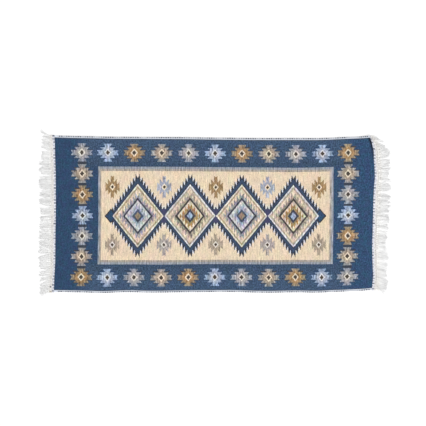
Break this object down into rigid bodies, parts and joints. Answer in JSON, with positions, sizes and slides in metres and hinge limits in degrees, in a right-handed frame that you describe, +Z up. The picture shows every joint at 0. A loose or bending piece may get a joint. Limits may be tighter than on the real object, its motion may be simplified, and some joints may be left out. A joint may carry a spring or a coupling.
{
  "type": "reversible kilim rug",
  "caption": "Flat-woven reversible rug with a star border and stepped diamond medallions, overcast long edges and a knotted fringe at each end.",
  "frame": {"origin": "on the floor under the middle of the rug's whole box, fringes included", "axes": "+X along the rug's length, to the right as the rug is seen from above; +Y across its width, to the far long edge; +Z up"},
  "size_m": [1.5052, 0.707, 0.0066],
  "materials": {
    "woven_wool": "weft-faced flat weave in dyed wool: navy border and medallion bands, cream field, motifs in light blue, gold, taupe and grey, matt, the same on both faces",
    "binding_yarn": "white overcast cotton yarn with dots of navy weft, matt",
    "fringe_cotton": "undyed white cotton warp yarn, knotted and loose, matt"
  },
  "bodies": {
    "root": {"rug_cloth": "woven_wool", "binding_far": "binding_yarn", "binding_near": "binding_yarn", "fringe_left": "fringe_cotton", "fringe_right": "fringe_cotton"}
  },
  "joints": []
}
